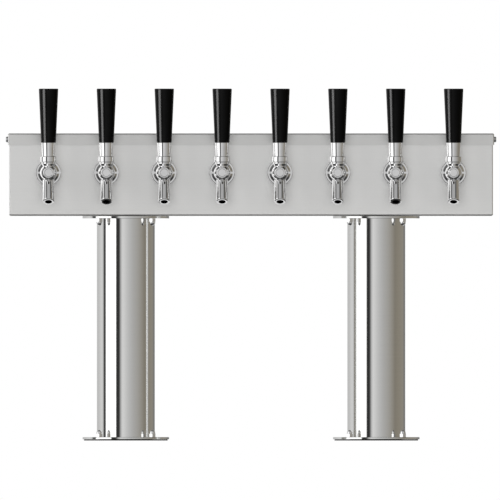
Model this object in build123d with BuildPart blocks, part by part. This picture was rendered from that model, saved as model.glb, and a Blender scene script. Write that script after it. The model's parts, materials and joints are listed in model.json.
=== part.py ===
from build123d import *
from math import cos, radians, sin, sqrt
import os

# A beer tap tower: a sheet-metal housing with eight faucets, carried on two round columns.
# Millimetres. +Z is up, the faucets face -Y, and the origin is on the counter, midway between the columns.

os.makedirs("parts", exist_ok=True)

# Faucets and columns are set out along X, either side of the middle.
TAPS = 8
TAP_PITCH = 76.2
TAP_X = [(i - (TAPS - 1) / 2) * TAP_PITCH for i in range(TAPS)]
COLUMN_X = 164.9
SIDES = {"left": -COLUMN_X, "right": COLUMN_X}

# Heights above the counter.
GASKET_T = 1.6
BASE_FLANGE_T = 2.9
TOP_FLANGE_T = 3.2
HOUSING_Z = 295.7
COVER_TOP_Z = 404.4
COVER_LIP_Z = 389.2
TAP_Z = 352.7
HANDLE_Z = 392.4
HANDLE_TOP_Z = 463.4
COLUMN_BOTTOM_Z = GASKET_T + BASE_FLANGE_T
COLUMN_TOP_Z = HOUSING_Z - TOP_FLANGE_T

# Columns and their bolted flanges.
COLUMN_R = 38.1
COLUMN_WALL = 1.65
FLANGE_R = 57.0
GASKET_R = 55.0
LINE_HOLE_R = 34.0
BOLT_CIRCLE_R = 49.5
BOLT_R = 2.5
TOP_HOLE_R = 2.6
BASE_HOLE_R = 3.0
GASKET_HOLE_R = 3.5
NUT_FLATS = 8.0

# Housing and cover, in bent sheet.
HOUSING_W = 637.0
HOUSING_D = 120.0
HOUSING_WALL = 1.5
COVER_WALL = 1.2
COVER_GAP = 0.4
HOUSING_TOP_Z = COVER_TOP_Z - COVER_WALL - COVER_GAP
FRONT_Y = -HOUSING_D / 2
COVER_X = HOUSING_W / 2 + COVER_GAP + COVER_WALL
COVER_Y = HOUSING_D / 2 + COVER_GAP + COVER_WALL
SCREW_Y = 30.0
SCREW_Z = 396.4
SCREW_R = 2.0
INSULATION_T = 11.0

# Faucets. Their own sizes are taken from the valve's centre: depth runs back from it, height runs up.
TAP_REACH = 32.0
TAP_Y = FRONT_Y - TAP_REACH
BALL_R = 11.3
BARREL_R = 10.2
REAR_RIM_R = 13.6
REAR_RIM_DEPTH = 18.1
REAR_DEPTH = 19.8
FACE_R = 7.3
FACE_DEPTH = -12.8
PLUG_R = 5.4
CHAMBER_R = 6.2
CHAMBER_FRONT = -4.5
GUIDE_R = 3.1
SPOUT_R = 7.8
SPOUT_BACK = 10.0
SPOUT_TILT = 31.0
SPOUT_LENGTH = 44.7
SPOUT_BORE_R = 4.7
SPOUT_BORE_DEPTH = 25.0
SPOUT_DUCT_R = 3.4

# The lever turns about a ball above the valve, and its lower tip moves the valve shaft.
PIVOT_H = 11.8
PIVOT_Z = TAP_Z + PIVOT_H
LEVER_BALL_R = 5.0
SOCKET_R = 5.15
LEVER_ARM = 9.0
TIP_R = 2.5
NOTCH_PLAY = 0.7
STEM_R = 3.2
STUD_R = 4.7
STUD_BORE_R = 4.8
STUD_REACH = 12.0
DOME_R = 9.6
SEAT_R = 7.7
BONNET_SEAT_H = 8.9
BOSS_R = 6.3
SKIRT_R = 9.85
LEVER_SWING = 36.0

# Shanks, from the coupling nut to the tail nut inside the housing. Depths are back from the valve's centre.
NUT_R = 16.5
NUT_FRONT = 13.0
NUT_BACK = 27.4
SHANK_HEAD_R = 14.3
SHANK_HEAD_DEPTH = 20.8
SHANK_R = 11.1
SHANK_SHOULDER = 28.0
SHANK_END = 72.0
TAIL_R = 7.0
TAIL_END = 80.0
SHANK_BORE_R = 4.0
SHANK_NUT_FLATS = 30.0
TAIL_NUT_FLATS = 20.0
WALL_BACK = TAP_REACH + HOUSING_WALL

# Cooling block, beer lines and the coolant line.
LINE_R = 3.175
LINE_BORE_R = 2.4
LINE_BEND = 14.0
COOLANT_R = 4.76
COOLANT_BORE_R = 3.9
COOLANT_BEND = 24.0
COOLANT_Y = -28.5
LINE_FOOT_Z = 3.0
BLOCK_DEPTHS = (42.0, 71.6)
BLOCK_LOW = 21.0
BLOCK_HIGH = 18.0
BLOCK_W = 592.0

TAP_CENTRE = (0, TAP_Y, TAP_Z)
UPRIGHT = Axis(TAP_CENTRE, (0, 0, 1))
AXIAL = Axis(TAP_CENTRE, (0, 1, 0))
# Sketches of turned pieces: radius and height about the upright axis, or depth and radius about the axial one.
TURN_UPRIGHT = Plane(origin=TAP_CENTRE, x_dir=(1, 0, 0), z_dir=(0, -1, 0))
TURN_AXIAL = Plane(origin=TAP_CENTRE, x_dir=(0, 1, 0), z_dir=(1, 0, 0))


def write(name, piece):
    """One node: a single piece, or several that share the node."""
    piece.label = name
    export_step(piece, f"parts/{name}.step")


def repeated(piece, places):
    """The same piece at each place, as separate solids."""
    return Compound([solid.moved(Location(place)) for place in places for solid in piece.solids()])


def for_every_tap(piece):
    return repeated(piece, [(x, 0, 0) for x in TAP_X])


def bolt_places():
    """The four bolts of each flange, seen from above."""
    half = BOLT_CIRCLE_R / sqrt(2)
    return [(x + i * half, j * half) for x in SIDES.values() for i in (-1, 1) for j in (-1, 1)]


def turned(points, axis, plane):
    """A ring or shaft turned from a closed outline of straight edges."""
    with BuildPart() as piece:
        with BuildSketch(plane):
            with BuildLine():
                Polyline(*points, close=True)
            make_face()
        revolve(axis=axis)
    return piece.part


# Housing and cover


def housing_shell():
    height = HOUSING_TOP_Z - HOUSING_Z
    with BuildPart() as shell:
        with BuildSketch(Plane.XY.offset(HOUSING_Z)):
            Rectangle(HOUSING_W, HOUSING_D)
        extrude(amount=height)
        fillet(shell.edges().filter_by(Axis.Z), 1.6)
        fillet(shell.faces().sort_by(Axis.Z)[0].edges(), 2.4)
        with BuildSketch(Plane.XY.offset(HOUSING_Z + HOUSING_WALL)):
            RectangleRounded(HOUSING_W - 2 * HOUSING_WALL, HOUSING_D - 2 * HOUSING_WALL, 0.5)
        extrude(amount=height, mode=Mode.SUBTRACT)
        with BuildSketch(Plane.XY.offset(HOUSING_Z)):
            with Locations(*[(x, 0) for x in SIDES.values()]):
                Circle(LINE_HOLE_R)
            with Locations(*bolt_places()):
                Circle(TOP_HOLE_R)
        extrude(amount=HOUSING_WALL, mode=Mode.SUBTRACT)
        with BuildSketch(Plane(origin=(0, FRONT_Y, TAP_Z), x_dir=(1, 0, 0), z_dir=(0, -1, 0))):
            with Locations(*[(x, 0) for x in TAP_X]):
                Circle(SHANK_R + 0.3)
        extrude(amount=-HOUSING_WALL, mode=Mode.SUBTRACT)
        with BuildSketch(Plane.YZ.offset(-HOUSING_W / 2)):
            with Locations((-SCREW_Y, SCREW_Z), (SCREW_Y, SCREW_Z)):
                Circle(SCREW_R + 0.1)
        extrude(amount=HOUSING_W, mode=Mode.SUBTRACT)
    return shell.part


def top_cover():
    with BuildPart() as cover:
        with BuildSketch(Plane.XY.offset(COVER_LIP_Z)):
            Rectangle(2 * COVER_X, 2 * COVER_Y)
        extrude(amount=COVER_TOP_Z - COVER_LIP_Z)
        fillet(cover.edges().filter_by(Axis.Z), 1.7)
        fillet(cover.faces().sort_by(Axis.Z)[-1].edges(), 2.2)
        with BuildSketch(Plane.XY.offset(COVER_LIP_Z)):
            RectangleRounded(2 * (COVER_X - COVER_WALL), 2 * (COVER_Y - COVER_WALL), 1.9)
        extrude(amount=COVER_TOP_Z - COVER_LIP_Z - COVER_WALL, mode=Mode.SUBTRACT)
        with BuildSketch(Plane.YZ.offset(-COVER_X)):
            with Locations((-SCREW_Y, SCREW_Z), (SCREW_Y, SCREW_Z)):
                Circle(SCREW_R + 0.2)
        extrude(amount=2 * COVER_X, mode=Mode.SUBTRACT)
    return cover.part


def cover_screws():
    """Pan-head screws with a cross recess, two through each end of the cover."""
    head_r, head_h, head_round, length, recess = 3.8, 2.8, 1.6, 8.0, 1.5
    flat_r, side_h = head_r - head_round, head_h - head_round
    with BuildPart() as screw:
        with BuildSketch(Plane.XZ):
            with BuildLine():
                Polyline((0, -length), (SCREW_R, -length), (SCREW_R, 0.02), (head_r, 0.02), (head_r, side_h))
                CenterArc((flat_r, side_h), head_round, 0, 90)
                Polyline((flat_r, head_h), (0, head_h), (0, -length))
            make_face()
        revolve(axis=Axis.Z)
        with BuildSketch(Plane.XY.offset(head_h - recess)):
            Rectangle(3.6, 0.8)
            Rectangle(0.8, 3.6)
        extrude(amount=recess, mode=Mode.SUBTRACT)
    ends = [Plane(origin=(s * COVER_X, y, SCREW_Z), z_dir=(s, 0, 0)) for s in (-1, 1) for y in (-SCREW_Y, SCREW_Y)]
    return repeated(screw.part, ends)


def cover_insulation():
    top = HOUSING_TOP_Z - 0.2
    with BuildPart() as pad:
        with BuildSketch(Plane.XY.offset(top - INSULATION_T)):
            RectangleRounded(HOUSING_W - 24, HOUSING_D - 2 * HOUSING_WALL - 2, 4)
        extrude(amount=INSULATION_T)
    return pad.part


# Columns, flanges and their fasteners


def column(x):
    with BuildPart() as tube:
        with BuildSketch(Plane.XY.offset(COLUMN_BOTTOM_Z)):
            with Locations((x, 0)):
                Circle(COLUMN_R)
                Circle(COLUMN_R - COLUMN_WALL, mode=Mode.SUBTRACT)
        extrude(amount=COLUMN_TOP_Z - COLUMN_BOTTOM_Z)
    return tube.part


def ring_plate(x, bottom, thickness, radius, hole_r):
    """A flat ring with the line hole and four bolt holes."""
    with BuildPart() as plate:
        with BuildSketch(Plane.XY.offset(bottom)):
            with Locations((x, 0)):
                Circle(radius)
                Circle(LINE_HOLE_R, mode=Mode.SUBTRACT)
                with PolarLocations(BOLT_CIRCLE_R, 4, start_angle=45):
                    Circle(hole_r, mode=Mode.SUBTRACT)
        extrude(amount=thickness)
    return plate.part


def flange(x, bottom, thickness, hole_r):
    """A ring plate whose outer rim is broken top and bottom."""
    with BuildPart() as plate:
        add(ring_plate(x, bottom, thickness, FLANGE_R, hole_r))
        rim = plate.edges().filter_by(GeomType.CIRCLE).filter_by(lambda e: e.radius > FLANGE_R - 0.1)
        chamfer(rim, 0.35)
    return plate.part


def cap_nut():
    """A domed hexagon nut, bored from below, standing on the XY plane."""
    hex_h, dome_start, dome_r, thread_depth = 4.6, 5.75, 3.65, 7.0
    corner_r, foot_r, shoulder_r = NUT_FLATS / 2 + 0.9, NUT_FLATS / 2 + 0.1, NUT_FLATS / 2 - 0.1
    with BuildPart() as nut:
        with BuildSketch():
            RegularPolygon(NUT_FLATS / 2, 6, major_radius=False, rotation=30)
        extrude(amount=hex_h)
        with BuildSketch(Plane.XZ):
            with BuildLine():
                Polyline(
                    (0, 0),
                    (foot_r, 0),
                    (corner_r, 0.5),
                    (corner_r, 3.9),
                    (shoulder_r, hex_h),
                    (0, hex_h),
                    close=True,
                )
            make_face()
        revolve(axis=Axis.Z, mode=Mode.INTERSECT)
        with BuildSketch(Plane.XZ):
            with BuildLine():
                Polyline((0, dome_start + dome_r), (0, hex_h), (dome_r, hex_h), (dome_r, dome_start))
                CenterArc((0, dome_start), dome_r, 0, 90)
            make_face()
        revolve(axis=Axis.Z)
        with BuildSketch():
            Circle(BOLT_R + 0.05)
        extrude(amount=thread_depth, mode=Mode.SUBTRACT)
    return nut.part


def column_bolt():
    """A hexagon bolt that hangs head up through the housing floor and the top flange."""
    head_h, reach = 3.5, 6.0
    with BuildPart() as bolt:
        with BuildSketch(Plane.XY.offset(HOUSING_Z + HOUSING_WALL + 0.02)):
            RegularPolygon(NUT_FLATS / 2, 6, major_radius=False)
        extrude(amount=head_h)
        with BuildSketch(Plane.XY.offset(COLUMN_TOP_Z - reach)):
            Circle(BOLT_R)
        extrude(amount=reach + TOP_FLANGE_T + HOUSING_WALL + 0.5)
    return bolt.part


# Faucet pieces, built at X = 0


def faucet_body():
    """Valve body and spout in one casting."""
    tilt = radians(SPOUT_TILT)
    along = Vector(0, -sin(tilt), -cos(tilt))
    spout = Plane(origin=(0, TAP_Y + SPOUT_BACK, TAP_Z), x_dir=(1, 0, 0), z_dir=along)
    boss_top = PIVOT_H - 0.9
    with BuildPart() as body:
        with Locations(TAP_CENTRE):
            Sphere(BALL_R)
        with BuildSketch(TURN_AXIAL):
            with BuildLine():
                Polyline((0, 0), (0, BARREL_R), (REAR_RIM_DEPTH, BARREL_R), (REAR_RIM_DEPTH, REAR_RIM_R))
                Polyline((REAR_RIM_DEPTH, REAR_RIM_R), (REAR_DEPTH, REAR_RIM_R), (REAR_DEPTH, 0), (0, 0))
            make_face()
        revolve(axis=AXIAL)
        with BuildSketch(spout):
            Circle(SPOUT_R)
        extrude(amount=SPOUT_LENGTH)
        joint = body.edges().filter_by(lambda e: is_spout_joint(e, spout))
        fillet(joint, 0.8)
        lip = body.edges().filter_by(GeomType.CIRCLE).sort_by(Axis.Z)[0]
        fillet(lip, 1.4)
        with BuildSketch(TURN_AXIAL):
            with BuildLine():
                Polyline((0, 0), (0, FACE_R), (FACE_DEPTH + 0.9, FACE_R))
                ThreePointArc((FACE_DEPTH + 0.9, FACE_R), (FACE_DEPTH + 0.26, FACE_R - 0.26), (FACE_DEPTH, FACE_R - 0.9))
                Polyline((FACE_DEPTH, FACE_R - 0.9), (FACE_DEPTH, 0), (0, 0))
            make_face()
        revolve(axis=AXIAL)
        # Seat for the bonnet: a flat ring round a raised boss.
        with BuildSketch(Plane.XY.offset(TAP_Z)):
            with Locations((0, TAP_Y)):
                Circle(SEAT_R)
        extrude(amount=BONNET_SEAT_H)
        with BuildSketch(Plane.XY.offset(TAP_Z + BONNET_SEAT_H)):
            with Locations((0, TAP_Y)):
                Circle(DOME_R + 0.2)
        extrude(amount=BALL_R, mode=Mode.SUBTRACT)
        with BuildSketch(Plane.XY.offset(TAP_Z)):
            with Locations((0, TAP_Y)):
                Circle(BOSS_R)
        extrude(amount=boss_top)
        # Valve chamber, shaft guide and the recess for the face plug.
        with BuildSketch(TURN_AXIAL):
            with BuildLine():
                Polyline(
                    (FACE_DEPTH, 0),
                    (FACE_DEPTH, PLUG_R + 0.05),
                    (FACE_DEPTH + 1.8, PLUG_R + 0.05),
                    (FACE_DEPTH + 1.8, GUIDE_R),
                    (CHAMBER_FRONT, GUIDE_R),
                    (CHAMBER_FRONT, CHAMBER_R),
                    (REAR_DEPTH, CHAMBER_R),
                    (REAR_DEPTH, 0),
                    close=True,
                )
            make_face()
        revolve(axis=AXIAL, mode=Mode.SUBTRACT)
        # Socket for the lever's ball, and the slot that its lower arm swings in.
        with Locations((0, TAP_Y, PIVOT_Z)):
            Sphere(SOCKET_R, mode=Mode.SUBTRACT)
        with Locations((0, TAP_Y + 2.6, TAP_Z + PIVOT_H / 2)):
            Box(5.8, 11.2, PIVOT_H - 0.4, mode=Mode.SUBTRACT)
        with BuildSketch(spout.offset(SPOUT_LENGTH - SPOUT_BORE_DEPTH)):
            Circle(SPOUT_BORE_R)
        extrude(amount=SPOUT_BORE_DEPTH, mode=Mode.SUBTRACT)
        with BuildSketch(spout.offset(CHAMBER_R / 2)):
            Circle(SPOUT_DUCT_R)
        extrude(amount=SPOUT_LENGTH - SPOUT_BORE_DEPTH, mode=Mode.SUBTRACT)
    return body.part


def is_spout_joint(edge, spout):
    """True for the curve where the spout leaves the ball and barrel."""
    points = [spout.to_local_coords(edge.position_at(share)) for share in (0.1, 0.5, 0.9)]
    on_spout = all(abs(sqrt(p.X**2 + p.Y**2) - SPOUT_R) < 0.05 for p in points)
    return on_spout and edge.geom_type != GeomType.LINE and points[1].Z < SPOUT_LENGTH / 2


def faucet_bonnet():
    """The domed ring over the lever's ball, slotted so that the stem can swing forward."""
    bottom = BONNET_SEAT_H + 0.05
    bore_r = BOSS_R + 0.1
    shoulder = PIVOT_H - 0.1
    foot_r = SEAT_R + 0.2
    swing = radians(LEVER_SWING)
    half = STEM_R + 0.25
    inner_r = sqrt(SOCKET_R**2 - 0.1**2)
    with BuildPart() as bonnet:
        with BuildSketch(TURN_UPRIGHT):
            with BuildLine():
                Polyline((0, PIVOT_H + SOCKET_R), (0, PIVOT_H + DOME_R))
                RadiusArc((0, PIVOT_H + DOME_R), (DOME_R, PIVOT_H), DOME_R)
                Polyline((DOME_R, PIVOT_H), (foot_r, bottom), (bore_r, bottom), (bore_r, shoulder))
                Line((bore_r, shoulder), (inner_r, shoulder))
                RadiusArc((inner_r, shoulder), (0, PIVOT_H + SOCKET_R), -SOCKET_R)
            make_face()
        revolve(axis=UPRIGHT)
        with BuildSketch(Plane(origin=(-half, TAP_Y, PIVOT_Z), x_dir=(0, 1, 0), z_dir=(1, 0, 0))):
            with BuildLine():
                Polyline(
                    (half, 0),
                    (half, 12),
                    (-12 * sin(swing) - half * cos(swing), 12),
                    (-12 * sin(swing) - half * cos(swing), 12 * cos(swing) - half * sin(swing)),
                    (-half * cos(swing), -half * sin(swing)),
                    close=True,
                )
            make_face()
        extrude(amount=2 * half, mode=Mode.SUBTRACT)
    return bonnet.part


def lever_washer():
    low, high = PIVOT_H - 0.88, PIVOT_H - 0.12
    inner_r, outer_r = SOCKET_R + 0.2, BOSS_R - 0.05
    return turned([(inner_r, low), (outer_r, low), (outer_r, high), (inner_r, high)], UPRIGHT, TURN_UPRIGHT)


def face_plug():
    front = FACE_DEPTH - 0.7
    back = FACE_DEPTH + 1.75
    outline = [(back, 0), (back, PLUG_R), (front + 0.5, PLUG_R), (front, PLUG_R - 0.5), (front, 0)]
    return turned(outline, AXIAL, TURN_AXIAL)


def coupling_nut():
    """The ring that draws the faucet onto its shank, with four spanner slots in its rim."""
    lip_r, bore_r, bore_front = BARREL_R + 0.4, SHANK_HEAD_R + 0.1, REAR_RIM_DEPTH - 0.1
    cone_r = 14.0
    shoulder = NUT_FRONT + cone_r - lip_r - 0.3
    slot_w, slot_in = 2.6, 4.6
    with BuildPart() as nut:
        with BuildSketch(TURN_AXIAL):
            with BuildLine():
                Polyline(
                    (bore_front, bore_r),
                    (bore_front, lip_r),
                    (NUT_FRONT, lip_r),
                    (NUT_FRONT, lip_r + 0.3),
                    (shoulder, cone_r),
                    (shoulder, NUT_R - 0.5),
                    (shoulder + 0.5, NUT_R),
                    (NUT_BACK - 0.8, NUT_R),
                    (NUT_BACK, NUT_R - 0.8),
                    (NUT_BACK, bore_r),
                    close=True,
                )
            make_face()
        revolve(axis=AXIAL)
        with BuildSketch(Plane(origin=(0, TAP_Y + NUT_FRONT, TAP_Z), x_dir=(1, 0, 0), z_dir=(0, -1, 0))):
            with PolarLocations(cone_r - slot_in / 2 + 0.4, 4):
                Rectangle(slot_in, slot_w)
        extrude(amount=NUT_FRONT - shoulder, mode=Mode.SUBTRACT)
    return nut.part


def coupling_gasket():
    front, back = REAR_DEPTH + 0.05, SHANK_HEAD_DEPTH - 0.05
    return turned([(front, 8.6), (front, 13.4), (back, 13.4), (back, 8.6)], AXIAL, TURN_AXIAL)


def shank():
    """The threaded tube that carries beer through the wall, with a wide head for the coupling nut."""
    outline = [
        (SHANK_HEAD_DEPTH, 8.5),
        (SHANK_HEAD_DEPTH, SHANK_HEAD_R),
        (SHANK_SHOULDER, SHANK_HEAD_R),
        (SHANK_SHOULDER, SHANK_R),
        (SHANK_END, SHANK_R),
        (SHANK_END, TAIL_R),
        (TAIL_END, TAIL_R),
        (TAIL_END, SHANK_BORE_R),
        (SHANK_SHOULDER + 2, SHANK_BORE_R),
        (SHANK_SHOULDER + 2, 8.5),
    ]
    return turned(outline, AXIAL, TURN_AXIAL)


def shank_flange():
    """The wall rose that the shank's shoulder pulls against the housing."""
    front, back = SHANK_SHOULDER + 0.02, TAP_REACH - 0.02
    bore_r = SHANK_R + 0.1
    outline = [(front, bore_r), (front, NUT_R - 1.5), (front + 1.5, NUT_R), (back, NUT_R), (back, bore_r)]
    return turned(outline, AXIAL, TURN_AXIAL)


def hexagon_nut(front, back, flats, bore_r):
    """A plain hexagon nut on the faucet's axis, between two depths."""
    with BuildPart() as nut:
        with BuildSketch(Plane(origin=(0, TAP_Y + front, TAP_Z), x_dir=(1, 0, 0), z_dir=(0, 1, 0))):
            RegularPolygon(flats / 2, 6, major_radius=False)
            Circle(bore_r, mode=Mode.SUBTRACT)
        extrude(amount=back - front)
    return nut.part


def tail_nut():
    """The union nut that holds a beer line against the shank's nose."""
    front, back, pocket = SHANK_END + 1, TAIL_END + 5, TAIL_END + 0.05
    with BuildPart() as nut:
        add(hexagon_nut(front, back, TAIL_NUT_FLATS, LINE_R + 0.1))
        with BuildSketch(Plane(origin=(0, TAP_Y + front, TAP_Z), x_dir=(1, 0, 0), z_dir=(0, 1, 0))):
            Circle(TAIL_R + 0.1)
        extrude(amount=pocket - front, mode=Mode.SUBTRACT)
    return nut.part


def valve_shaft():
    """Shaft with its seat disc behind the body, and a notch that the lever's tip works in."""
    nose, nose_r, rod_r = -10.9, GUIDE_R - 0.06, 2.2
    block_front, block_back, block_r = -3.6, 4.0, 4.6
    disc_front, disc_back, disc_r, hub_r = REAR_DEPTH + 0.05, REAR_DEPTH + 2.0, 7.0, 5.0
    outline = [
        (nose, 0),
        (nose, nose_r),
        (block_front, nose_r),
        (block_front, block_r),
        (block_back, block_r),
        (block_back, rod_r),
        (disc_front - 0.65, rod_r),
        (disc_front, hub_r),
        (disc_front, disc_r),
        (disc_back, disc_r),
        (disc_back, 0),
    ]
    with BuildPart() as shaft:
        add(turned(outline, AXIAL, TURN_AXIAL))
        with Locations((0, TAP_Y, TAP_Z + 2.5)):
            Box(12, 2 * TIP_R + NOTCH_PLAY, 5.4, mode=Mode.SUBTRACT)
    return shaft.part


def lever():
    """Stud, stem, ball and lower arm in one piece, upright when the tap is shut."""
    stud_low = PIVOT_H + SKIRT_R
    stud_high = HANDLE_Z - TAP_Z + STUD_REACH
    neck_r = 2.0
    with BuildPart() as arm:
        with BuildSketch(TURN_UPRIGHT):
            with BuildLine():
                Polyline((0, 2.9), (neck_r, 2.9), (neck_r, PIVOT_H - 2), (STEM_R, PIVOT_H + 2), (STEM_R, stud_low))
                Polyline((STEM_R, stud_low), (STUD_R, stud_low), (STUD_R, stud_high - 0.6), (STUD_R - 0.6, stud_high))
                Polyline((STUD_R - 0.6, stud_high), (0, stud_high), (0, 2.9))
            make_face()
        revolve(axis=UPRIGHT)
        with Locations((0, TAP_Y, PIVOT_Z)):
            Sphere(LEVER_BALL_R)
        with Locations((0, TAP_Y, PIVOT_Z - LEVER_ARM)):
            Sphere(TIP_R)
    return arm.part


def handle_ferrule():
    """Chrome ferrule under the handle; its flared foot is hollowed round the bonnet's dome."""
    top = HANDLE_Z - TAP_Z
    groove = 21.5
    collar_r = 10.8
    foot_h, foot_r = 13.9, 10.3
    rim_r = sqrt(SKIRT_R**2 - (foot_h - PIVOT_H) ** 2)
    bore_h = PIVOT_H + sqrt(SKIRT_R**2 - STUD_BORE_R**2)
    with BuildPart() as ferrule:
        with BuildSketch(TURN_UPRIGHT):
            with BuildLine():
                Polyline((STUD_BORE_R, bore_h), (STUD_BORE_R, top), (9.3, top), (9.65, top - 0.35), (8.8, groove + 0.5))
                Polyline((8.8, groove + 0.5), (8.3, groove + 0.1), (collar_r - 0.9, groove))
                ThreePointArc((collar_r - 0.9, groove), (collar_r - 0.25, groove - 0.35), (collar_r, groove - 1.1))
                Line((collar_r, groove - 1.1), (collar_r, foot_h + 0.9))
                ThreePointArc((collar_r, foot_h + 0.9), (collar_r - 0.12, foot_h + 0.35), (foot_r, foot_h))
                Line((foot_r, foot_h), (rim_r, foot_h))
                RadiusArc((rim_r, foot_h), (STUD_BORE_R, bore_h), -SKIRT_R)
            make_face()
        revolve(axis=UPRIGHT)
    return ferrule.part


def tap_handle():
    """Tapered black handle, widest at its flat top."""
    bottom, top = HANDLE_Z - TAP_Z + 0.05, HANDLE_TOP_Z - TAP_Z
    low_r, high_r, edge = 9.8, 12.8, 1.2
    bore = bottom + STUD_REACH + 1
    with BuildPart() as handle:
        with BuildSketch(TURN_UPRIGHT):
            with BuildLine():
                Polyline((0, bore), (STUD_BORE_R, bore), (STUD_BORE_R, bottom), (low_r - 0.4, bottom))
                Polyline((low_r - 0.4, bottom), (low_r, bottom + 0.4), (high_r, top - edge))
                ThreePointArc((high_r, top - edge), (high_r - 0.35, top - 0.35), (high_r - edge, top))
                Polyline((high_r - edge, top), (0, top), (0, bore))
            make_face()
        revolve(axis=UPRIGHT)
    return handle.part


# Cooling block, beer lines and coolant line


def cooling_block():
    front, back = (TAP_Y + d for d in BLOCK_DEPTHS)
    low, high = TAP_Z - BLOCK_LOW, TAP_Z + BLOCK_HIGH
    with BuildPart() as block:
        with Locations((0, (front + back) / 2, (low + high) / 2)):
            Box(BLOCK_W, back - front, high - low)
        chamfer(block.edges().filter_by(Axis.X), 1.0)
        with BuildSketch(Plane(origin=(0, front, TAP_Z), x_dir=(1, 0, 0), z_dir=(0, -1, 0))):
            with Locations(*[(x, 0) for x in TAP_X]):
                Circle(SHANK_R + 0.1)
        extrude(amount=front - back, mode=Mode.SUBTRACT)
        with BuildSketch(Plane.YZ.offset(-BLOCK_W / 2)):
            with Locations((COOLANT_Y, low)):
                Circle(COOLANT_R + 0.1)
        extrude(amount=BLOCK_W, mode=Mode.SUBTRACT)
    return block.part


def bent_tube(points, bend, outer_r, bore_r):
    """A tube along straight runs joined by bends, whose first run starts straight along the path."""
    first = (Vector(*points[1]) - Vector(*points[0])).normalized()
    with BuildPart() as tube:
        with BuildLine():
            FilletPolyline(*points, radius=bend)
        with BuildSketch(Plane(origin=points[0], z_dir=first)):
            Circle(outer_r)
            Circle(bore_r, mode=Mode.SUBTRACT)
        sweep()
    return tube.part


def beer_lines():
    """One line from each shank to the foot of the nearer column."""
    start_y = TAP_Y + TAIL_END + 0.05
    # For each faucet of a column: where its line stands in the column, and the height that it crosses at.
    routes = [((9.6, 26.3), 316.0), ((25.4, 12.0), None), ((-9.6, 26.3), 322.0), ((-25.4, 12.0), 318.0)]
    lines = []
    for side in (-1, 1):
        for k, ((dx, y), cross_z) in enumerate(routes):
            x = -side * TAP_X[k]
            foot_x = side * (COLUMN_X + dx)
            points = [(x, start_y, TAP_Z), (x, y, TAP_Z)]
            if cross_z:
                points += [(x, y, cross_z), (foot_x, y, cross_z)]
            points.append((foot_x, y, LINE_FOOT_Z))
            lines.append(bent_tube(points, LINE_BEND, LINE_R, LINE_BORE_R))
    return Compound(lines)


def coolant_line():
    """Up one column, along the groove under the cooling block and down the other column."""
    z = TAP_Z - BLOCK_LOW
    points = [
        (-COLUMN_X, COOLANT_Y, LINE_FOOT_Z),
        (-COLUMN_X, COOLANT_Y, z),
        (COLUMN_X, COOLANT_Y, z),
        (COLUMN_X, COOLANT_Y, LINE_FOOT_Z),
    ]
    return bent_tube(points, COOLANT_BEND, COOLANT_R, COOLANT_BORE_R)


write("housing_shell", housing_shell())
write("top_cover", top_cover())
write("cover_screws", cover_screws())
write("cover_insulation", cover_insulation())

for side, x in SIDES.items():
    write(f"column_{side}", column(x))
    write(f"top_flange_{side}", flange(x, COLUMN_TOP_Z, TOP_FLANGE_T, TOP_HOLE_R))
    write(f"base_flange_{side}", flange(x, GASKET_T, BASE_FLANGE_T, BASE_HOLE_R))
    write(f"base_gasket_{side}", ring_plate(x, 0, GASKET_T, GASKET_R, GASKET_HOLE_R))

nut = cap_nut()
write("base_cap_nuts", repeated(nut, [(x, y, COLUMN_BOTTOM_Z) for x, y in bolt_places()]))
hanging = [Plane(origin=(x, y, COLUMN_TOP_Z), z_dir=(0, 0, -1)) for x, y in bolt_places()]
write("top_cap_nuts", repeated(nut, hanging))
write("column_bolts", repeated(column_bolt(), [(x, y, 0) for x, y in bolt_places()]))

write("faucet_bodies", for_every_tap(faucet_body()))
write("faucet_bonnets", for_every_tap(faucet_bonnet()))
write("lever_washers", for_every_tap(lever_washer()))
write("face_plugs", for_every_tap(face_plug()))
write("coupling_nuts", for_every_tap(coupling_nut()))
write("coupling_gaskets", for_every_tap(coupling_gasket()))
write("shanks", for_every_tap(shank()))
write("shank_flanges", for_every_tap(shank_flange()))
write("shank_nuts", for_every_tap(hexagon_nut(WALL_BACK + 0.05, WALL_BACK + 7.5, SHANK_NUT_FLATS, SHANK_R + 0.1)))
write("tail_nuts", for_every_tap(tail_nut()))

moving = {"tap_handle": tap_handle(), "handle_ferrule": handle_ferrule(), "lever": lever(), "valve_shaft": valve_shaft()}
for name, piece in moving.items():
    for number, x in enumerate(TAP_X, start=1):
        write(f"{name}_{number}", repeated(piece, [(x, 0, 0)]))

write("cooling_block", cooling_block())
write("beer_lines", beer_lines())
write("coolant_line", coolant_line())
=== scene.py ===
import json
import math

import bpy
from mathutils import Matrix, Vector


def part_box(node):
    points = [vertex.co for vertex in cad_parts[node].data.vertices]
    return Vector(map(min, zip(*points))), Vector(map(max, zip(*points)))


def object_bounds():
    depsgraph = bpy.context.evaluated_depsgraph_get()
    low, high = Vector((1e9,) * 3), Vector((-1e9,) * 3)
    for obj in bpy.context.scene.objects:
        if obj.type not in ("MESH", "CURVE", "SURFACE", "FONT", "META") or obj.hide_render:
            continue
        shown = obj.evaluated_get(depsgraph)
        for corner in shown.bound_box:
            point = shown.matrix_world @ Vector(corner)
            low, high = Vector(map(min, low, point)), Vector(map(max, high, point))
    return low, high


# Looks for the beer tap tower. Metres, in the CAD frame: +X right, -Y towards the camera, +Z up.

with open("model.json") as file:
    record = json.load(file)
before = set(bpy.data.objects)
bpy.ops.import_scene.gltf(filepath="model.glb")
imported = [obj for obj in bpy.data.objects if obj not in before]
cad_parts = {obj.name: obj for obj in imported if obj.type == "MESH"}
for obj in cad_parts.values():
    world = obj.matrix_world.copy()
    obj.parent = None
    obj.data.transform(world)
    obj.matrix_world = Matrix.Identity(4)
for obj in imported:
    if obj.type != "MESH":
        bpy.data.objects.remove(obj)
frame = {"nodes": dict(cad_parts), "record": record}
CAD_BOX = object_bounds()
NODES = frame["nodes"]

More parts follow.
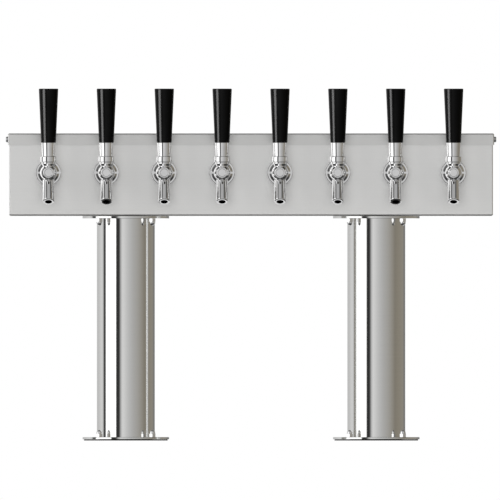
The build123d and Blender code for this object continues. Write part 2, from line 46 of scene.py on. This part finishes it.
TAPS = 8

scene = bpy.context.scene
scene.view_settings.view_transform = "Standard"


# Shader building


class Shader:
    """A node material under construction, with short helpers for its nodes and links."""

    def __init__(self, name, **settings):
        self.material = bpy.data.materials.new(name)
        self.material.use_nodes = True
        self.tree = self.material.node_tree
        self.bsdf = self.tree.nodes["Principled BSDF"]
        for socket, value in settings.items():
            self.bsdf.inputs[socket.replace("_", " ")].default_value = value
        self.position = self.node("ShaderNodeTexCoord").outputs["Object"]

    def node(self, kind, **properties):
        made = self.tree.nodes.new(kind)
        for key, value in properties.items():
            setattr(made, key, value)
        return made

    def link(self, source, target):
        self.tree.links.new(source, target)

    def feed(self, source, socket):
        self.link(source, self.bsdf.inputs[socket])

    def stretched(self, scale, source=None):
        mapping = self.node("ShaderNodeMapping")
        mapping.inputs["Scale"].default_value = scale
        self.link(source or self.position, mapping.inputs["Vector"])
        return mapping.outputs["Vector"]

    def noise(self, scale, detail=3.0, roughness=0.55, stretch=None, vector=None):
        noise = self.node("ShaderNodeTexNoise")
        noise.inputs["Scale"].default_value = scale
        noise.inputs["Detail"].default_value = detail
        noise.inputs["Roughness"].default_value = roughness
        source = vector or self.position
        self.link(self.stretched(stretch, source) if stretch else source, noise.inputs["Vector"])
        return noise.outputs["Fac"]

    def spread(self, source, low, high, start=0.3, end=0.7):
        """Remap a factor from start..end to low..high."""
        remap = self.node("ShaderNodeMapRange")
        remap.inputs["From Min"].default_value = start
        remap.inputs["From Max"].default_value = end
        remap.inputs["To Min"].default_value = low
        remap.inputs["To Max"].default_value = high
        self.link(source, remap.inputs["Value"])
        return remap.outputs["Result"]

    def tint(self, source, dark, light):
        mix = self.node("ShaderNodeMix", data_type="RGBA")
        mix.inputs["A"].default_value = (*dark, 1)
        mix.inputs["B"].default_value = (*light, 1)
        self.link(source, mix.inputs["Factor"])
        return mix.outputs["Result"]

    def maths(self, operation, first, second):
        step = self.node("ShaderNodeMath", operation=operation)
        for socket, value in zip(step.inputs, (first, second)):
            if isinstance(value, (int, float)):
                socket.default_value = value
            else:
                self.link(value, socket)
        return step.outputs["Value"]

    def bump(self, source, height, strength=1.0):
        bump = self.node("ShaderNodeBump")
        bump.inputs["Distance"].default_value = height
        bump.inputs["Strength"].default_value = strength
        self.link(source, bump.inputs["Height"])
        self.feed(bump.outputs["Normal"], "Normal")

    def grain_along(self, direction):
        """Point the anisotropy along a direction; it mustn't be square to any face."""
        along = self.node("ShaderNodeCombineXYZ")
        for socket, value in zip(along.inputs, direction):
            socket.default_value = value
        self.feed(along.outputs["Vector"], "Tangent")


# Materials


def brushed_sheet(name, dark, light):
    """Stainless sheet with its grain along X, fingerprints and a little mottling."""
    shader = Shader(name, Metallic=1.0, Anisotropic=0.5)
    shader.grain_along((1, 0.05, 0))
    grain = shader.noise(1.0, detail=5.0, roughness=0.7, stretch=(9, 1500, 1500))
    long_grain = shader.noise(1.0, detail=2.0, stretch=(2, 420, 420))
    mottle = shader.noise(9.0, detail=4.0)
    fine = shader.maths("MULTIPLY", grain, 0.6)
    coarse = shader.maths("MULTIPLY", long_grain, 0.4)
    both = shader.maths("ADD", fine, coarse)
    shader.feed(shader.tint(shader.spread(both, 0, 1), dark, light), "Base Color")
    rough = shader.maths("ADD", shader.spread(both, 0.40, 0.43), shader.spread(mottle, -0.01, 0.02))
    shader.feed(rough, "Roughness")
    shader.bump(both, 0.000004, 0.1)
    return shader.material


def polished_tube():
    """Polished stainless tube: a mirror with faint polishing lines round it."""
    shader = Shader("polished_tube", Metallic=1.0)
    lines = shader.noise(1.0, detail=4.0, roughness=0.7, stretch=(25, 25, 1400))
    smears = shader.noise(14.0, detail=4.0)
    shader.feed(shader.tint(shader.spread(lines, 0, 1), (0.88, 0.88, 0.87), (0.92, 0.92, 0.91)), "Base Color")
    rough = shader.maths("ADD", shader.spread(lines, 0.05, 0.06), shader.spread(smears, 0.0, 0.015))
    shader.feed(rough, "Roughness")
    return shader.material


def chrome():
    """Bright plate over a casting: near mirror, with water marks and a faint waviness."""
    shader = Shader("chrome_plate", Metallic=1.0)
    marks = shader.noise(90.0, detail=5.0, roughness=0.6)
    ripple = shader.noise(160.0, detail=1.0)
    tone = shader.tint(shader.spread(marks, 0, 1), (0.86, 0.86, 0.865), (0.93, 0.93, 0.93))
    shader.feed(tone, "Base Color")
    shader.feed(shader.spread(marks, 0.03, 0.06), "Roughness")
    shader.bump(ripple, 0.000004, 0.4)
    return shader.material


def machined_steel(name, dark, light):
    """Turned or drawn metal that isn't polished."""
    shader = Shader(name, Metallic=1.0)
    marks = shader.noise(300.0, detail=4.0, roughness=0.7)
    shader.feed(shader.tint(shader.spread(marks, 0, 1), dark, light), "Base Color")
    shader.feed(shader.spread(marks, 0.28, 0.42), "Roughness")
    shader.bump(marks, 0.00003, 0.3)
    return shader.material


def gloss_handle():
    """Moulded black handle under a clear gloss, with faint flow marks and handling scuffs."""
    shader = Shader("gloss_handle", Specular_IOR_Level=0.075)
    flow = shader.noise(60.0, detail=3.0, stretch=(1, 1, 0.25))
    scuffs = shader.noise(420.0, detail=6.0, roughness=0.75)
    tone = shader.tint(shader.spread(flow, 0, 1), (0.001, 0.001, 0.001), (0.003, 0.003, 0.003))
    shader.feed(tone, "Base Color")
    rough = shader.maths("ADD", shader.spread(scuffs, 0.13, 0.142), shader.spread(flow, 0.0, 0.04))
    shader.feed(rough, "Roughness")
    shader.bump(flow, 0.00002, 0.2)
    return shader.material


def rubber():
    """Black rubber with a fine grain and some dust."""
    shader = Shader("rubber_black", IOR=1.45)
    grain = shader.noise(1500.0, detail=4.0)
    dust = shader.noise(120.0, detail=4.0)
    tone = shader.tint(shader.spread(dust, 0, 1), (0.010, 0.010, 0.010), (0.035, 0.034, 0.033))
    shader.feed(tone, "Base Color")
    shader.feed(shader.spread(grain, 0.6, 0.85), "Roughness")
    shader.bump(grain, 0.00008, 0.4)
    return shader.material


def foam():
    """Pale open-celled foam."""
    shader = Shader("foam_pad", IOR=1.4)
    cells = shader.noise(700.0, detail=3.0)
    shader.feed(shader.tint(shader.spread(cells, 0, 1), (0.55, 0.50, 0.36), (0.78, 0.73, 0.58)), "Base Color")
    shader.feed(shader.spread(cells, 0.8, 0.95), "Roughness")
    shader.bump(cells, 0.0003, 0.5)
    return shader.material


def dress_nodes():
    """Each CAD node takes the material of its slot in the record, and the cover a copy of the sheet with
    painted shade, its base colour darkened to stand in for the lid catching less light.
    """
    by_slot = {
        "satin_housing": brushed_sheet("housing_sheet", (0.93, 0.93, 0.92), (0.96, 0.96, 0.95)),
        "polished_steel": polished_tube(),
        "chrome": chrome(),
        "plain_steel": machined_steel("drawn_steel", (0.50, 0.50, 0.49), (0.64, 0.64, 0.63)),
        "zinc_steel": machined_steel("zinc_plate", (0.60, 0.61, 0.62), (0.75, 0.76, 0.77)),
        "black_handle": gloss_handle(),
        "black_rubber": rubber(),
        "brass": machined_steel("turned_brass", (0.62, 0.44, 0.17), (0.78, 0.60, 0.29)),
        "aluminium": machined_steel("cast_aluminium", (0.62, 0.63, 0.64), (0.76, 0.77, 0.78)),
        "foam": foam(),
    }
    for part in frame["record"]["subparts"]:
        mesh = NODES[part["node"]].data
        mesh.materials.clear()
        mesh.materials.append(by_slot[part["material_slot"]])
    # Painted shade: the cover is the housing's brushed steel with a darker base colour, standing in for the
    # lid catching less light than the front.
    cover = NODES["top_cover"].data
    cover.materials.clear()
    cover.materials.append(brushed_sheet("cover_sheet_painted_shade", (0.82, 0.82, 0.81), (0.86, 0.86, 0.85)))


# Studio


def grey(level, warmth=0.0):
    """Linear colour for a display grey of 0 to 255; warmth takes some of the blue out."""
    share = level / 255
    linear = ((share + 0.055) / 1.055) ** 2.4
    return (linear, linear * (1 - 0.35 * warmth), linear * (1 - warmth), 1)


SOFTBOX = (1.3, 1.3, 1.3, 1)

# What stands round the object, as (degrees to the camera's right, colour), from behind it round to behind it.
SURROUNDINGS = [
    (-180, grey(192)),
    (-140, grey(196)),
    (-114, grey(214)),
    (-105, grey(206)),
    (-101, grey(158)),
    (-97, grey(54)),
    (-91, grey(66)),
    (-88, grey(130)),
    (-86, SOFTBOX),
    (-41, SOFTBOX),
    (-38, grey(58)),
    (-29, grey(44)),
    (-25, grey(90)),
    (-20, grey(180)),
    (-13, grey(217)),
    (-5, grey(210)),
    (3, grey(200)),
    (16, grey(186)),
    (30, grey(174, 0.03)),
    (47, grey(164, 0.08)),
    (65, grey(149, 0.16)),
    (80, grey(131, 0.24)),
    (100, grey(138, 0.26)),
    (132, grey(142, 0.2)),
    (143, grey(128, 0.12)),
    (160, grey(118)),
    (174, grey(150)),
    (180, grey(192)),
]


def studio_world():
    """White to the camera, and in reflections a ring of soft panels round the object."""
    world = bpy.data.worlds.new("studio")
    scene.world = world
    world.use_nodes = True
    tree = world.node_tree
    tree.nodes.clear()

    def node(kind, **properties):
        made = tree.nodes.new(kind)
        for key, value in properties.items():
            setattr(made, key, value)
        return made

    def link(source, target):
        tree.links.new(source, target)

    direction = node("ShaderNodeSeparateXYZ")
    link(node("ShaderNodeTexCoord").outputs["Generated"], direction.inputs["Vector"])
    towards_camera = node("ShaderNodeMath", operation="MULTIPLY")
    link(direction.outputs["Y"], towards_camera.inputs[0])
    towards_camera.inputs[1].default_value = -1
    azimuth = node("ShaderNodeMath", operation="ARCTAN2")
    link(direction.outputs["X"], azimuth.inputs[0])
    link(towards_camera.outputs["Value"], azimuth.inputs[1])
    turn = node("ShaderNodeMapRange")
    turn.inputs["From Min"].default_value = -math.pi
    turn.inputs["From Max"].default_value = math.pi
    link(azimuth.outputs["Value"], turn.inputs["Value"])

    ring = node("ShaderNodeValToRGB")
    stops = ring.color_ramp.elements
    stops[0].color = SURROUNDINGS[0][1]
    stops[1].color = SURROUNDINGS[-1][1]
    for degrees, colour in SURROUNDINGS[1:-1]:
        stops.new((degrees + 180) / 360).color = colour
    link(turn.outputs["Result"], ring.inputs["Fac"])

    def blend_along(axis, below, above, start, end):
        """Change from one colour to the other between two values of one component of the direction."""
        share = node("ShaderNodeMapRange", interpolation_type="SMOOTHSTEP")
        share.inputs["From Min"].default_value = start
        share.inputs["From Max"].default_value = end
        link(direction.outputs[axis], share.inputs["Value"])
        mix = node("ShaderNodeMix", data_type="RGBA")
        link(share.outputs["Result"], mix.inputs["Factor"])
        for socket, colour in ((mix.inputs["A"], below), (mix.inputs["B"], above)):
            if isinstance(colour, tuple):
                socket.default_value = colour
            else:
                link(colour, socket)
        return mix.outputs["Result"]

    # Below the ring it is dark on the camera's side and pale behind. Above it, it is the other way round.
    below_ring = blend_along("Y", grey(62), grey(225), start=0.3, end=0.45)
    above_ring = blend_along("Y", grey(172), grey(85), start=-0.42, end=-0.32)
    lower = blend_along("Z", below_ring, ring.outputs["Color"], start=-0.55, end=-0.12)
    whole = blend_along("Z", lower, above_ring, start=0.64, end=0.74)

    panels = node("ShaderNodeBackground")
    link(whole, panels.inputs["Color"])
    backdrop = node("ShaderNodeBackground")
    backdrop.inputs["Color"].default_value = (1, 1, 1, 1)
    choose = node("ShaderNodeMixShader")
    link(node("ShaderNodeLightPath").outputs["Is Camera Ray"], choose.inputs["Fac"])
    link(panels.outputs["Background"], choose.inputs[1])
    link(backdrop.outputs["Background"], choose.inputs[2])
    link(choose.outputs["Shader"], node("ShaderNodeOutputWorld").inputs["Surface"])


def floor():
    """A plain pale floor that the metal doesn't mirror."""
    size = 6.0
    bpy.ops.mesh.primitive_plane_add(size=size, location=(0, 0, -0.0003))
    plane = bpy.context.object
    plane.name = "floor"
    plane.visible_glossy = False
    shader = Shader("floor_pale", Roughness=0.9)
    shader.feed(shader.tint(shader.noise(3.0), (0.86, 0.86, 0.86), (0.90, 0.90, 0.90)), "Base Color")
    plane.data.materials.append(shader.material)


def area_light(name, place, aim, size, energy):
    """A rectangular lamp at a place, turned towards a point; size is width and height."""
    light = bpy.data.lights.new(name, "AREA")
    light.shape = "RECTANGLE"
    light.size, light.size_y = size
    light.energy = energy
    lamp = bpy.data.objects.new(name, light)
    lamp.location = place
    lamp.rotation_euler = (Vector(aim) - Vector(place)).to_track_quat("-Z", "Y").to_euler()
    scene.collection.objects.link(lamp)
    return lamp


def only_light(lamp, *prefixes):
    """Keep a lamp to the CAD nodes whose names start with one of the prefixes."""
    lit = bpy.data.collections.new(lamp.name)
    for name, node in NODES.items():
        if name.startswith(prefixes):
            lit.objects.link(node)
    lamp.light_linking.receiver_collection = lit


def lights():
    """A soft key for the shadow, a strip for the gleam on the handles, and a fill on the sheet metal."""
    key = area_light("key", place=(-1.4, -1.6, 2.4), aim=(0, 0, 0.2), size=(1.6, 1.2), energy=45)
    key.visible_glossy = False
    strip = area_light(
        "handle_strip", place=(-2.2, -1.26, 0.35), aim=(0, -0.09, 0.43), size=(1.15, 2.4), energy=215
    )
    only_light(strip, "tap_handle")
    fill = area_light("sheet_fill", place=(0, -4.5, 0.35), aim=(0, 0, 0.35), size=(4.0, 3.0), energy=9)
    only_light(fill, "housing_shell", "top_cover")


def cards():
    """A small white card to the left of each faucet, which brightens the left edge of its chrome."""
    to_left, card_y, card_z, towards_front = 0.034, -0.070, 0.350, 0.004
    for tap in range(1, TAPS + 1):
        low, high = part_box(f"tap_handle_{tap}")
        tap_x = (low.x + high.x) / 2
        card = area_light(
            f"card_{tap}",
            place=(tap_x - to_left, card_y, card_z),
            aim=(tap_x, card_y - towards_front, card_z),
            size=(0.016, 0.12),
            energy=0.006,
        )
        card.visible_camera = False
        only_light(card, "faucet", "face_plugs", "handle_ferrule")


def camera():
    """A long lens square on to the faucets."""
    front = CAD_BOX[0].y
    distance, view_x, view_z, frame_width = 4.0, -0.0014, 0.2509, 0.6584
    lens = bpy.data.cameras.new("camera")
    lens.type = "ORTHO"
    lens.ortho_scale = frame_width
    lens.clip_end = 20
    view = bpy.data.objects.new("camera", lens)
    view.location = (view_x, front - distance, view_z)
    view.rotation_euler = (math.pi / 2, 0, 0)
    scene.collection.objects.link(view)
    scene.camera = view


dress_nodes()
studio_world()
floor()
lights()
cards()
camera()
